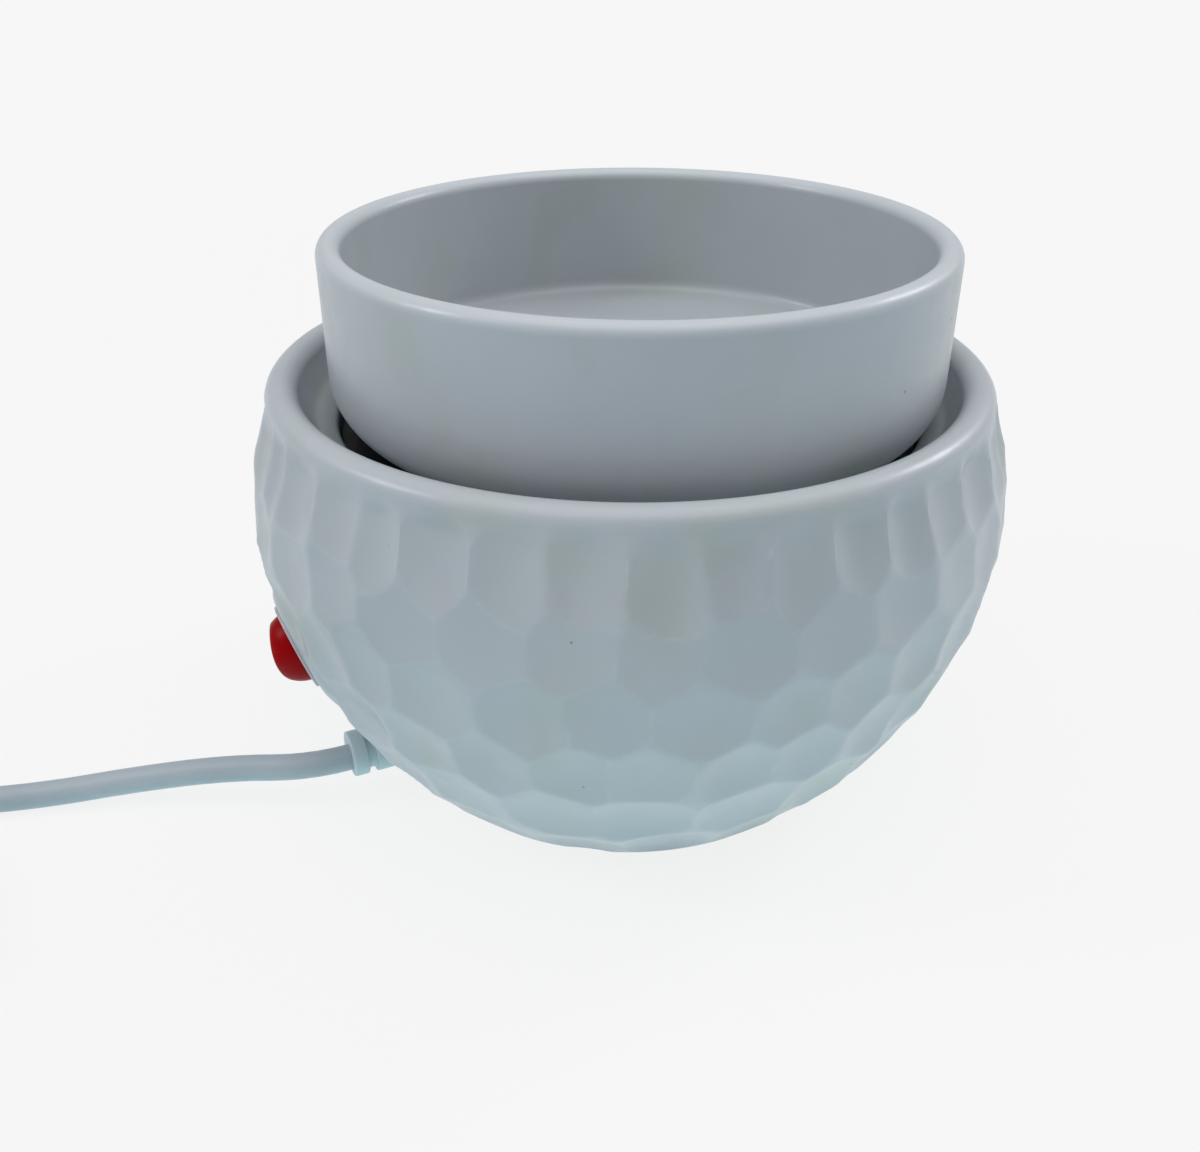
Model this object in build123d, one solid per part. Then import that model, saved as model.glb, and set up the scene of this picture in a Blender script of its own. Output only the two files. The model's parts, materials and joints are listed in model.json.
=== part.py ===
"""Electric wax melt warmer: a faceted ceramic bowl with a heated plate, a loose melt dish,
a rocker switch and a mains lead. Millimetres, +Z up, origin on the floor under the bowl's axis.
The switch and the lead are at -X."""
from build123d import *
import math
import os

# Ceramic bowl: outer form. The outline's points are shares of widest_radius and of lip_z
foot_gap = 1.6
widest_radius = 74.6
lip_z = 83.0
foot_shares = (0.65, 0.036)
belly_shares = (0.9236, 0.3976)
widest_height_share = 0.6867
shoulder_shares = (0.98, 0.8554)
lip_crest_share = 0.8867
lip_thickness_radius = 3.15
lip_band = 3.0
wall = 4.6

# Ceramic bowl: well, shelf and hollow, inwards and downwards from the lip
ledge_outer_step, ledge_outer_drop = 2.4, 4.0
ledge_width, ledge_inner_drop = 6.6, 6.0
seat_drop = 12.4
shelf_width = 8.4
shelf_thickness = 5.2
shelf_root_step, shelf_root_drop = 1.0, 8.1
foot_rim_width = 6.5
cover_recess_depth = 3.0
foot_flange_width = 4.5
foot_flange_thickness = 4.0

# Hammered facets: how many go round each row, and the row's height as a share of the lip's height
facet_count_shares = [(40, 0.91), (32, 0.76), (32, 0.60), (32, 0.44), (24, 0.28), (20, 0.10)]
facet_depth = 0.5

# Melt dish
dish_gap = 4.4
dish_height = 34.9
dish_rim_radius = 2.2
dish_corner_radius = 11.0
dish_floor_thickness = 7.8
dish_wall = 4.4
dish_floor_fillet = 2.0
dish_foot_inset, dish_foot_width, dish_foot_height = 3.6, 3.5, 2.8
dish_shift_x, dish_shift_y = 1.27, -0.59

# Warming plate and its pack
plate_thickness = 1.6
plate_gap = 0.5
seal_thickness = 0.8
seal_overhang = 2.0
plate_boss_radius = 5.0
plate_boss_length = 5.5
plate_pan_depth = 1.2
plate_pan_width = 6.0
pack_bore = 5.6
pack_gap = 12.0
spreader_thickness = 1.5
element_inset, element_thickness = 2.0, 1.2
pad_inset, pad_thickness = 1.0, 3.0
clamp_thickness = 1.2
clamp_rim_width, clamp_rim_depth = 1.0, 1.5

# Tie rod, nuts and washers
rod_radius = 2.0
rod_fit = 0.05
rod_end_z = 2.4
rod_grip = 4.5
nut_flats, nut_thickness = 7.0, 3.2
washer_radius, washer_thickness = 4.5, 0.8

# Base cover and feet
cover_gap = 0.4
cover_thickness = 2.4
cover_hub_radius, cover_hub_height = 8.4, 6.2
cover_pocket_radius = 6.4
cover_pocket_roof = 1.6
lug_radius, lug_height, lug_gap = 2.5, 3.4, 0.5
vent_width, vent_inner, vent_gap, vent_count = 3.0, 14.0, 1.5, 12
pad_foot_radius, pad_foot_inset = 5.0, 4.0
pad_foot_recess = 0.8
feet_count = 4
feet_turn = 45.0

# Rocker switch, on its own axis: w is outwards, v is up the bowl, u is towards -Y
switch_z = 38.0
switch_lift = 0.0
switch_seat_depth = 0.7
bezel_radius, bezel_gap = 9.2, 0.2
bezel_thickness = 1.0
barrel_radius, barrel_length = 8.2, 11.8
switch_bore = 7.25
barrel_floor = 1.2
barrel_hole_gap = 0.2
rocker_radius = 7.1
rocker_pivot_depth = 1.2
rocker_tilt = 14.0
rocker_face_depth = 4.2
rocker_face_radius = 16.0
rocker_under = 3.2
stem_radius, stem_reach = 1.3, 7.2
pivot_radius, pivot_length, pivot_gap = 0.9, 0.65, 0.05
ring_nut_radius, ring_nut_thickness = 10.6, 2.4
spot_face_gap = 1.0
spot_face_length = 14.0
lever_length, lever_width, lever_thickness = 8.0, 3.0, 0.5
lever_tilt = 4.9
lever_gap = 0.06
knife_depth = 9.2
contact_depth = 9.75
blade_width, blade_thickness = 4.8, 0.8
blade_stick_out = 5.5
blade_gap = 0.05
contact_offset = 3.6

# Strain relief
gland_z = 9.0
gland_stand_out = 8.84
gland_head_radius, gland_head_length = 6.25, 3.0
gland_neck_radius, gland_neck_length = 4.9, 1.7
gland_collar_length = 3.8
gland_shank_radius, gland_shank_length = 4.4, 10.6
gland_gap = 0.2
gland_nut_flats, gland_nut_thickness = 11.4, 3.0
gland_wall = 6.6
gland_spot_radius = 7.0

# Mains lead, coil and tie
cord_radius = 2.7
cord_fit = 0.05
cord_inner_length = 27.0
coil_outer_radius = 40.0
coil_pitch = 6.0
coil_layer = 6.0
coil_half_turns_in = 6
tie_thickness, tie_width, tie_gap, tie_side_gap = 0.5, 6.0, 0.15, 0.9
coil_z = cord_radius + tie_thickness + tie_gap

# Plug
plug_length, plug_width, plug_height = 26.0, 23.0, 13.0
plug_edge = 3.0
plug_neck_length, plug_neck_radius, plug_neck_tip = 20.0, 4.6, 3.5
plug_blade_length, plug_blade_width, plug_blade_thickness = 16.5, 6.3, 1.5
plug_blade_spacing, plug_blade_seat = 12.7, 6.0

# Thermal fuse and leads
fuse_y = 16.0
fuse_radius, fuse_length = 2.0, 10.0
fuse_wire_radius, fuse_wire_reach = 0.5, 13.0
sleeve_wall, sleeve_gap, sleeve_reach = 0.5, 0.1, 12.0
clip_thickness, clip_width, clip_foot, clip_gap = 0.6, 5.0, 4.0, 0.1
lead_radius = 0.9
switch_lead_straight = 11.0
core_spacing = 2.6
core_straight = 6.6
tab_drop = 10.7
crimp_radius, crimp_length, crimp_place = 1.5, 4.0, 15.6
crimp_gap = 0.05
tab_length, tab_width, tab_thickness = 7.0, 4.0, 0.6
tab_turns = (50.0, 240.0)
tab_lead_place = 4.5
spade_width, spade_depth, spade_length, spade_gap = 6.2, 3.0, 7.0, 0.06
overrun = 5.0

# Routes of the leads in the hollow: across and aside as shares of widest_radius, up as a share of lip_z
live_shares = [(-0.302, 0.054, 0.217), (-0.288, 0.080, 0.386), (-0.402, 0.064, 0.542)]
switched_shares = [(-0.476, 0.060, 0.657), (-0.382, 0.161, 0.723)]
fuse_shares = [(0.382, 0.248, 0.705), (0.395, 0.322, 0.657)]
neutral_shares = [(-0.295, -0.107, 0.217), (-0.235, -0.268, 0.386), (-0.221, -0.409, 0.566)]
fuse_lead_share = 0.292

# Places that follow from the sizes above
blade_reach = switch_seat_depth + barrel_length + blade_stick_out
foot_radius, foot_edge_z = foot_shares[0] * widest_radius, foot_shares[1] * lip_z
belly_radius, belly_z = belly_shares[0] * widest_radius, belly_shares[1] * lip_z
widest_z = widest_height_share * lip_z
shoulder_radius, shoulder_z = shoulder_shares[0] * widest_radius, shoulder_shares[1] * lip_z
lip_crest_radius = lip_crest_share * widest_radius
lip_inner_radius = lip_crest_radius - lip_thickness_radius
ledge_outer_radius, ledge_outer_z = lip_inner_radius - ledge_outer_step, lip_z - ledge_outer_drop
well_radius, ledge_inner_z = lip_inner_radius - ledge_width, lip_z - ledge_inner_drop
seat_z = lip_z - seat_drop
shelf_bore_radius, shelf_under_z = well_radius - shelf_width, seat_z - shelf_thickness
shelf_root_radius, shelf_root_z = lip_inner_radius + shelf_root_step, seat_z - shelf_root_drop
cover_recess_radius = foot_radius - foot_rim_width
foot_flange_bore = cover_recess_radius - foot_flange_width
pad_foot_circle = foot_flange_bore - pad_foot_inset
vent_outer = pad_foot_circle - pad_foot_radius - vent_gap
plate_under_z = seat_z + seal_thickness
plate_top_z = plate_under_z + plate_thickness
plate_radius = well_radius - plate_gap
dish_radius = lip_inner_radius - dish_gap
dish_under_z = plate_top_z + dish_foot_height
dish_floor_z, dish_crest_z = dish_under_z + dish_floor_thickness, dish_under_z + dish_height
dish_corner_z = dish_under_z + dish_corner_radius
dish_foot_radius = dish_radius - dish_corner_radius - dish_foot_inset
spreader_radius = clamp_radius = shelf_bore_radius - pack_gap
element_radius, pad_radius = spreader_radius - element_inset, spreader_radius - pad_inset
spreader_z = plate_under_z - spreader_thickness
element_z = spreader_z - element_thickness
pad_z = element_z - pad_thickness
clamp_z = pad_z - clamp_thickness
cover_top_z = foot_gap + cover_recess_depth
cover_under_z = cover_top_z - cover_thickness
fuse_z = clamp_z - fuse_radius - sleeve_gap - sleeve_wall - clip_gap


def circle_through(first, second, third):
    """Centre and radius of the circle through three (radius, height) points."""
    (ax, ay), (bx, by), (cx, cy) = first, second, third
    turn = 2 * (ax * (by - cy) + bx * (cy - ay) + cx * (ay - by))
    a, b, c = ax * ax + ay * ay, bx * bx + by * by, cx * cx + cy * cy
    centre_x = (a * (by - cy) + b * (cy - ay) + c * (ay - by)) / turn
    centre_y = (a * (cx - bx) + b * (ax - cx) + c * (bx - ax)) / turn
    return centre_x, centre_y, math.hypot(ax - centre_x, ay - centre_y)


LOWER = circle_through((foot_radius, foot_edge_z), (belly_radius, belly_z), (widest_radius, widest_z))
LIP_OUTER = (lip_crest_radius + lip_thickness_radius, lip_z)
UPPER = circle_through((widest_radius, widest_z), (shoulder_radius, shoulder_z), LIP_OUTER)


def bowl_radius(z):
    """Outer radius of the bowl at a height."""
    centre_x, centre_z, radius = LOWER if z < widest_z else UPPER
    return centre_x + math.sqrt(radius ** 2 - (z - centre_z) ** 2)


def bowl_slope(z):
    """Change of the outer radius for each millimetre of height."""
    centre_x, centre_z = (LOWER if z < widest_z else UPPER)[:2]
    return -(z - centre_z) / (bowl_radius(z) - centre_x)


gland_end_x = bowl_radius(gland_z) + gland_stand_out


def turned(*edges):
    """Solid of revolution about Z from edges drawn in the XZ plane."""
    return revolve(make_face(Plane.XZ * Wire(edges)), Axis.Z)


def line(*points):
    """Straight edges through points given as (radius, height)."""
    return [Line(a, b).edge() for a, b in zip(points, points[1:])]


def ring(outer, inner, bottom, height):
    """Flat ring about Z."""
    disc = Pos(0, 0, bottom) * Cylinder(outer, height, align=(Align.CENTER, Align.CENTER, Align.MIN))
    bore = Pos(0, 0, bottom - overrun) * Cylinder(
        inner, height + 2 * overrun, align=(Align.CENTER, Align.CENTER, Align.MIN))
    return disc - bore


def disc(radius, bottom, height):
    """Round disc about Z."""
    return Pos(0, 0, bottom) * Cylinder(radius, height, align=(Align.CENTER, Align.CENTER, Align.MIN))


def hexagon(flats, bottom, height):
    """Hexagonal block about Z, measured across its flats."""
    return Pos(0, 0, bottom) * extrude(RegularPolygon(flats / 2, 6, major_radius=False), height)


def rod_x(radius, start, length):
    """Cylinder along +X from start, about the X axis."""
    return Pos(start, 0, 0) * Rot(0, 90, 0) * Cylinder(
        radius, length, align=(Align.CENTER, Align.CENTER, Align.MIN))


def rod_y(radius, length):
    """Cylinder along Y, centred."""
    return Rot(90, 0, 0) * Cylinder(radius, length)


def write(node, *solids):
    """Write one node's solids to its STEP file."""
    shape = solids[0] if len(solids) == 1 else Compound(children=list(solids))
    shape.label = node
    export_step(shape, os.path.join("parts", node + ".step"))


def switch_plane(depth):
    """Plane square to the switch's axis, a depth below the bowl's surface."""
    lean = math.atan(bowl_slope(switch_z))
    out = Vector(-math.cos(lean), 0, -math.sin(lean))
    surface = Vector(-bowl_radius(switch_z), 0, switch_z)
    return Plane(origin=surface + out * (switch_lift - depth), x_dir=(0, -1, 0), z_dir=out)


def inward(radius, depth, length):
    """Cylinder on the switch's axis from a depth, going inwards."""
    return switch_plane(depth) * Cylinder(radius, length, align=(Align.CENTER, Align.CENTER, Align.MAX))


def bend_radii(points):
    """Arc radius at each corner: 0.45 of the shorter run over the tangent of half the turn."""
    run_share = 0.45
    radii = []
    for a, b, c in zip(points, points[1:], points[2:]):
        first, second = Vector(*b) - Vector(*a), Vector(*c) - Vector(*b)
        half_turn = math.radians(first.get_angle(second)) / 2
        radii.append(run_share * min(first.length, second.length) / math.tan(half_turn))
    return radii


def tube(name, points, radius):
    """Round tube along straight runs joined by tangent arcs."""
    radii = bend_radii(points)
    path = FilletPolyline(*points, radius=radii)
    section = Plane(origin=path @ 0, z_dir=path % 0) * Circle(radius)
    solid = sweep(section, path=path)
    expected = math.pi * radius ** 2 * path.length
    print(name, "length %.1f" % path.length, "volume ratio %.4f" % (solid.volume / expected),
          "radii", " ".join("%.1f" % r for r in radii))
    return solid


def faceted_cone(count, turn, low, high, low_radius, high_radius):
    """Many-sided cone about Z with flat sides, measured across its flats at each end.

    turn is the place of its first corner as a share of one side."""
    ends = []
    for z, flat_radius in ((low, low_radius), (high, high_radius)):
        corner_radius = flat_radius / math.cos(math.pi / count)
        turns = [2 * math.pi * (i + turn) / count for i in range(count)]
        ends.append([(corner_radius * math.cos(a), corner_radius * math.sin(a), z) for a in turns])
    bottom, top = ends
    sides = [[bottom[i - 1], bottom[i], top[i], top[i - 1]] for i in range(count)]
    return Solid(Shell([Face(Wire.make_polygon(points)) for points in sides + [bottom, top]]))


def ceramic_body():
    """Faceted bowl with its well, its shelf, its foot and the holes for the switch and the lead."""
    outer = None
    for i, (count, height_share) in enumerate(facet_count_shares):
        z = lip_z * height_share
        radius, slope = bowl_radius(z) - facet_depth, bowl_slope(z)
        low, high = foot_gap, lip_z
        ends = [radius + slope * (end - z) for end in (low, high)]
        row = faceted_cone(count, (i % 2) / 2, low, high, *ends)
        outer = row if outer is None else outer & row
    band_z = lip_z - lip_band
    outer += turned(
        *line((lip_inner_radius, band_z), (bowl_radius(band_z) - facet_depth, band_z), LIP_OUTER),
        ThreePointArc(LIP_OUTER, (lip_crest_radius, lip_z + lip_thickness_radius),
                      (lip_inner_radius, lip_z)).edge(),
        *line((lip_inner_radius, lip_z), (lip_inner_radius, band_z)))
    well = turned(*line(
        (0, seat_z), (well_radius, seat_z), (well_radius, ledge_inner_z),
        (ledge_outer_radius, ledge_outer_z), (lip_inner_radius, lip_z),
        (lip_inner_radius, lip_z + overrun), (0, lip_z + overrun), (0, seat_z)))
    hollow_bottom_z = cover_top_z + foot_flange_thickness
    hollow_foot_radius = bowl_radius(hollow_bottom_z) - wall
    hollow = turned(
        *line((0, hollow_bottom_z), (hollow_foot_radius, hollow_bottom_z)),
        ThreePointArc((hollow_foot_radius, hollow_bottom_z), (bowl_radius(belly_z) - wall, belly_z),
                      (widest_radius - wall, widest_z)).edge(),
        *line((widest_radius - wall, widest_z), (shelf_root_radius, shelf_root_z),
              (shelf_bore_radius, shelf_under_z), (0, shelf_under_z), (0, hollow_bottom_z)))
    body = outer - well - hollow
    body -= disc(shelf_bore_radius, shelf_under_z - overrun, seat_z - shelf_under_z + 2 * overrun)
    body -= disc(cover_recess_radius, foot_gap - overrun, cover_recess_depth + overrun)
    body -= disc(foot_flange_bore, foot_gap, cover_recess_depth + foot_flange_thickness + overrun)
    body -= switch_plane(switch_seat_depth) * Cylinder(
        bezel_radius + bezel_gap, overrun, align=(Align.CENTER, Align.CENTER, Align.MIN))
    body -= inward(barrel_radius + barrel_hole_gap, 0, barrel_length)
    body -= inward(ring_nut_radius + spot_face_gap, wall, spot_face_length)
    gland = Pos(-gland_end_x, 0, gland_z)
    seat = gland_head_length + gland_neck_length + gland_collar_length
    body -= gland * rod_x(gland_head_radius + gland_gap, 0, seat)
    body -= gland * rod_x(gland_shank_radius + gland_gap, 0, seat + gland_shank_length + overrun)
    body -= gland * rod_x(gland_spot_radius, seat + gland_wall, gland_shank_length + overrun)
    return body


def melt_dish():
    """Loose dish with a rolled rim, a rounded lower corner and a foot ring."""
    rim_z = dish_crest_z - dish_rim_radius
    rim_inner = dish_radius - 2 * dish_rim_radius
    corner_x = dish_radius - dish_corner_radius
    corner = math.sqrt(0.5) * dish_corner_radius
    inner_radius = dish_radius - dish_wall
    outline = turned(
        *line((0, dish_under_z), (corner_x, dish_under_z)),
        ThreePointArc((corner_x, dish_corner_z - dish_corner_radius),
                      (corner_x + corner, dish_corner_z - corner), (dish_radius, dish_corner_z)).edge(),
        *line((dish_radius, dish_corner_z), (dish_radius, rim_z)),
        ThreePointArc((dish_radius, rim_z), (dish_radius - dish_rim_radius, dish_crest_z),
                      (rim_inner, rim_z)).edge(),
        *line((rim_inner, rim_z), (0, rim_z), (0, dish_under_z)))
    fillet = dish_floor_fillet * (1 - math.sqrt(0.5))
    inside = turned(
        *line((0, dish_floor_z), (inner_radius - dish_floor_fillet, dish_floor_z)),
        ThreePointArc((inner_radius - dish_floor_fillet, dish_floor_z),
                      (inner_radius - fillet, dish_floor_z + fillet),
                      (inner_radius, dish_floor_z + dish_floor_fillet)).edge(),
        *line((inner_radius, dish_floor_z + dish_floor_fillet), (rim_inner, rim_z),
              (rim_inner, dish_crest_z), (0, dish_crest_z), (0, dish_floor_z)))
    foot = ring(dish_foot_radius, dish_foot_radius - dish_foot_width, plate_top_z, dish_under_z - plate_top_z)
    return Pos(dish_shift_x, dish_shift_y, 0) * (outline - inside + foot)


def warming_plate():
    """Black pan-edged plate with a threaded boss under its middle."""
    plate = disc(plate_radius, plate_under_z, plate_thickness)
    plate += ring(plate_radius, plate_radius - plate_pan_width / 2, plate_top_z, plate_pan_depth)
    boss = disc(plate_boss_radius, plate_under_z - plate_boss_length, plate_boss_length)
    hole = disc(rod_radius + rod_fit, plate_under_z - plate_boss_length - overrun, rod_grip + overrun)
    return plate + boss - hole


def heating_pack():
    """Spreader, element, pad and clamp plate, one on another under the plate."""
    write("heat_spreader", ring(spreader_radius, pack_bore, spreader_z, spreader_thickness))
    write("heating_element", ring(element_radius, pack_bore, element_z, element_thickness))
    write("insulation_pad", ring(pad_radius, pack_bore, pad_z, pad_thickness))
    clamp = ring(clamp_radius, rod_radius + rod_fit, clamp_z, clamp_thickness)
    clamp += ring(clamp_radius, clamp_radius - clamp_rim_width, clamp_z - clamp_rim_depth, clamp_rim_depth)
    write("clamp_plate", clamp)
    tab = Pos(element_radius + tab_length / 2, 0, element_z + tab_thickness / 2) * Box(
        tab_length, tab_width, tab_thickness)
    tab -= disc(element_radius, element_z - overrun, element_thickness + 2 * overrun)
    write("heater_terminals", *[Rot(0, 0, turn) * tab for turn in tab_turns])


def tie_rod():
    """Rod from the plate's boss to the base cover, with a nut and washer at each end."""
    top = plate_under_z - plate_boss_length + rod_grip
    write("tie_rod", disc(rod_radius, rod_end_z, top - rod_end_z))
    pocket_top = cover_under_z + cover_hub_height - cover_pocket_roof
    washers, nuts = [], []
    for seat in (clamp_z, pocket_top):
        washers.append(ring(washer_radius, rod_radius + rod_fit, seat - washer_thickness, washer_thickness))
        nut = hexagon(nut_flats, seat - washer_thickness - nut_thickness, nut_thickness)
        nuts.append(nut - disc(rod_radius + rod_fit, 0, plate_top_z))
    write("rod_washers", *washers)
    write("rod_nuts", *nuts)


def base_cover():
    """Round plastic cover with a hub pocket, vent slots, feet recesses and four locating lugs."""
    cover = disc(cover_recess_radius - cover_gap, cover_under_z, cover_thickness)
    cover += disc(cover_hub_radius, cover_under_z, cover_hub_height)
    pocket_depth = cover_hub_height - cover_pocket_roof
    cover -= disc(cover_pocket_radius, cover_under_z - overrun, pocket_depth + overrun)
    cover -= disc(rod_radius + rod_fit, 0, cover_under_z + cover_hub_height + overrun)
    slot = Pos((vent_inner + vent_outer) / 2, 0, cover_under_z) * Box(
        vent_outer - vent_inner, vent_width, cover_thickness + 2 * overrun)
    for i in range(vent_count):
        cover -= Rot(0, 0, (i + 1 / 2) * 360 / vent_count) * slot
    lug_place = foot_flange_bore - lug_gap - lug_radius
    for i in range(feet_count):
        turn = Rot(0, 0, feet_turn + i * 360 / feet_count)
        cover += turn * Pos(lug_place, 0, 0) * disc(lug_radius, cover_top_z, lug_height)
        cover -= turn * Pos(pad_foot_circle, 0, 0) * disc(
            pad_foot_radius, cover_under_z - overrun, overrun + pad_foot_recess)
    return cover


def rubber_feet():
    """Four round pads in the cover's recesses, standing on the floor."""
    foot = Pos(pad_foot_circle, 0, 0) * disc(pad_foot_radius, 0, cover_under_z + pad_foot_recess)
    return [Rot(0, 0, feet_turn + i * 360 / feet_count) * foot for i in range(feet_count)]


def switch():
    """Round rocker switch with its ring nut, contact lever and terminals."""
    top = switch_plane(0)
    floor_depth = switch_seat_depth + barrel_length - barrel_floor
    housing = switch_plane(switch_seat_depth) * Cylinder(
        bezel_radius, bezel_thickness, align=(Align.CENTER, Align.CENTER, Align.MIN))
    housing += inward(barrel_radius, switch_seat_depth, barrel_length)
    housing -= inward(switch_bore, -overrun, floor_depth + overrun)
    pivot = switch_plane(rocker_pivot_depth)
    pin_reach = rocker_radius + pivot_length
    housing -= pivot * rod_y(pivot_radius + pivot_gap, 2 * (pin_reach + pivot_gap))
    blades = []
    for side, tip in ((0, knife_depth), (-1, contact_depth)):
        middle = (tip + blade_reach) / 2
        place = top * Pos(side * contact_offset, 0, -middle)
        blades.append(place * Box(blade_thickness, blade_width, blade_reach - tip))
        housing -= place * Box(blade_thickness + 2 * blade_gap, blade_width + 2 * blade_gap, blade_reach)
    write("switch_housing", housing)
    write("switch_terminals", *blades)

    face = Pos(0, 0, rocker_face_depth + rocker_face_radius) * rod_y(rocker_face_radius, 4 * rocker_radius)
    rocker = Sphere(rocker_radius) - face
    rocker -= Pos(0, 0, -rocker_under) * Box(
        4 * rocker_radius, 4 * rocker_radius, 2 * rocker_radius,
        align=(Align.CENTER, Align.CENTER, Align.MAX))
    rocker += Cylinder(stem_radius, stem_reach, align=(Align.CENTER, Align.CENTER, Align.MAX))
    rocker += rod_y(pivot_radius, 2 * pin_reach)
    write("switch_rocker", pivot * Rot(0, -rocker_tilt, 0) * rocker)

    lever = Pos(0, 0, lever_gap) * Box(
        lever_length, lever_width, lever_thickness, align=(Align.CENTER, Align.CENTER, Align.MIN))
    knife_half = blade_thickness / 2
    lever = Pos(0, 0, knife_half * math.tan(math.radians(lever_tilt))) * lever
    write("switch_contact_lever", switch_plane(knife_depth) * Rot(0, lever_tilt, 0) * lever)
    nut = inward(ring_nut_radius, wall, ring_nut_thickness)
    write("switch_ring_nut", nut - inward(barrel_radius + rod_fit, 0, barrel_length))

    spades = []
    for side in (0, -1):
        box = top * Pos(side * contact_offset, 0, -blade_reach) * Box(spade_depth, spade_width, spade_length)
        box -= top * Pos(side * contact_offset, 0, -blade_reach + spade_length / 2) * Box(
            blade_thickness + 2 * spade_gap, blade_width + 2 * spade_gap, spade_length)
        box -= top * Pos(side * contact_offset, 0, -blade_reach - spade_length / 2) * Cylinder(
            lead_radius + spade_gap, spade_length)
        spades.append(box)
    write("spade_connectors", *spades)


def strain_relief():
    """Stepped bushing for the lead: head, neck, collar and a shank through the wall."""
    start = Pos(-gland_end_x, 0, gland_z)
    neck_start = gland_head_length
    collar_start = neck_start + gland_neck_length
    shank_start = collar_start + gland_collar_length
    length = shank_start + gland_shank_length
    bushing = rod_x(gland_head_radius, 0, gland_head_length)
    bushing += rod_x(gland_neck_radius, neck_start, gland_neck_length)
    bushing += rod_x(gland_head_radius, collar_start, gland_collar_length)
    bushing += rod_x(gland_shank_radius, shank_start, gland_shank_length)
    write("strain_relief", start * (bushing - rod_x(cord_radius + cord_fit, -overrun, length + 2 * overrun)))
    nut = Rot(0, 90, 0) * extrude(RegularPolygon(gland_nut_flats / 2, 6, major_radius=False),
                                  gland_nut_thickness)
    nut -= rod_x(gland_shank_radius + rod_fit, -overrun, gland_nut_thickness + 2 * overrun)
    write("strain_relief_nut", start * Pos(shank_start + gland_wall, 0, 0) * nut)
    write("cord_inner_end", start * rod_x(cord_radius, 0, cord_inner_length))


def coil_arcs():
    """Half-turn arcs that spiral in, climb one layer on the innermost and spiral out again."""
    radius, x, z, side = coil_outer_radius, coil_outer_radius, coil_z, 1
    count = 2 * coil_half_turns_in
    edges = [Line((x, -2 * cord_radius, z), (x, 0, z)).edge()]
    for i in range(count):
        climb = coil_layer if i == coil_half_turns_in else 0
        end = x - side * 2 * radius
        middle = ((x + end) / 2, side * math.hypot(radius, climb / 2), z + climb / 2)
        edges.append(ThreePointArc((x, 0, z), middle, (end, 0, z + climb)).edge())
        x, z, side = end, z + climb, -side
        radius += (1 if i >= coil_half_turns_in else -1) * coil_pitch / 2
    corner = math.sqrt(0.5) * radius
    edges.append(ThreePointArc((x, 0, z), (x - radius + corner, corner, z), (x - radius, radius, z)).edge())
    edges.append(Line((x - radius, radius, z), (x - radius - 2 * cord_radius, radius, z)).edge())
    return edges


def least_gap(edges):
    """Least gap between turns of the coil that lie more than half a turn apart."""
    step_share = 1 / 24
    points, travelled, start = [], [], 0
    for edge in edges:
        count = max(1, round(edge.length / (coil_outer_radius * math.pi * step_share)))
        for i in range(count):
            points.append(edge @ (i / count))
            travelled.append(start + edge.length * i / count)
        start += edge.length
    nearest = min((a - b).length for i, a in enumerate(points) for j, b in enumerate(points[:i])
                  if travelled[i] - travelled[j] > 2 * coil_outer_radius)
    return nearest - 2 * cord_radius


def coil_place(route):
    """Plane at the coil's middle: y is the way that the lead arrives and x points at its start."""
    before, start = Vector(*route[-2]), Vector(*route[-1])
    heading = Vector(start.X - before.X, start.Y - before.Y, 0).normalized()
    side = Vector(heading.Y, -heading.X, 0)
    middle = Vector(start.X, start.Y, 0) + heading * (2 * cord_radius) - side * coil_outer_radius
    return Plane(origin=middle, x_dir=side, z_dir=(0, 0, 1))


def cord_tie(place):
    """Band round the coil's six turns where they run side by side."""
    inner, outer = coil_outer_radius - (coil_half_turns_in - 1) * coil_pitch / 2, coil_outer_radius
    outer -= coil_pitch / 2
    middle_y, middle_z = -(inner + outer) / 2, coil_z + coil_layer / 2
    inside_y = outer - inner + 2 * (cord_radius + tie_side_gap)
    inside_z = coil_layer + 2 * (cord_radius + tie_gap)
    band = Box(tie_width, inside_y + 2 * tie_thickness, inside_z + 2 * tie_thickness)
    band = fillet(band.edges().filter_by(Axis.X), cord_radius + tie_thickness)
    hole = Box(2 * tie_width, inside_y, inside_z)
    hole = fillet(hole.edges().filter_by(Axis.X), cord_radius)
    return place * Pos(0, middle_y, middle_z) * (band - hole)


def plug(tail):
    """Two-blade plug with a tapered neck, lying flat beside the coil."""
    before, end = Vector(*tail[-2]), Vector(*tail[-1])
    place = Plane(origin=end, x_dir=(end - before).normalized(), z_dir=(0, 0, 1))
    body = Box(plug_length, plug_width, plug_height, align=(Align.MIN, Align.CENTER, Align.CENTER))
    body = fillet(body.edges(), plug_edge)
    neck = Rot(0, 90, 0) * Cone(plug_neck_tip, plug_neck_radius, plug_neck_length + plug_edge,
                                align=(Align.CENTER, Align.CENTER, Align.MIN))
    body = Pos(plug_neck_length, 0, 0) * body + neck
    face_x = plug_neck_length + plug_length
    seat_x = face_x - plug_blade_seat
    blades = [Pos(seat_x, side * plug_blade_spacing / 2, 0) * Box(
        plug_blade_seat + plug_blade_length, plug_blade_thickness, plug_blade_width,
        align=(Align.MIN, Align.CENTER, Align.CENTER)) for side in (-1, 1)]
    for blade in blades:
        body -= blade
    write("plug_body", place * body)
    write("plug_blades", *[place * blade for blade in blades])


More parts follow.
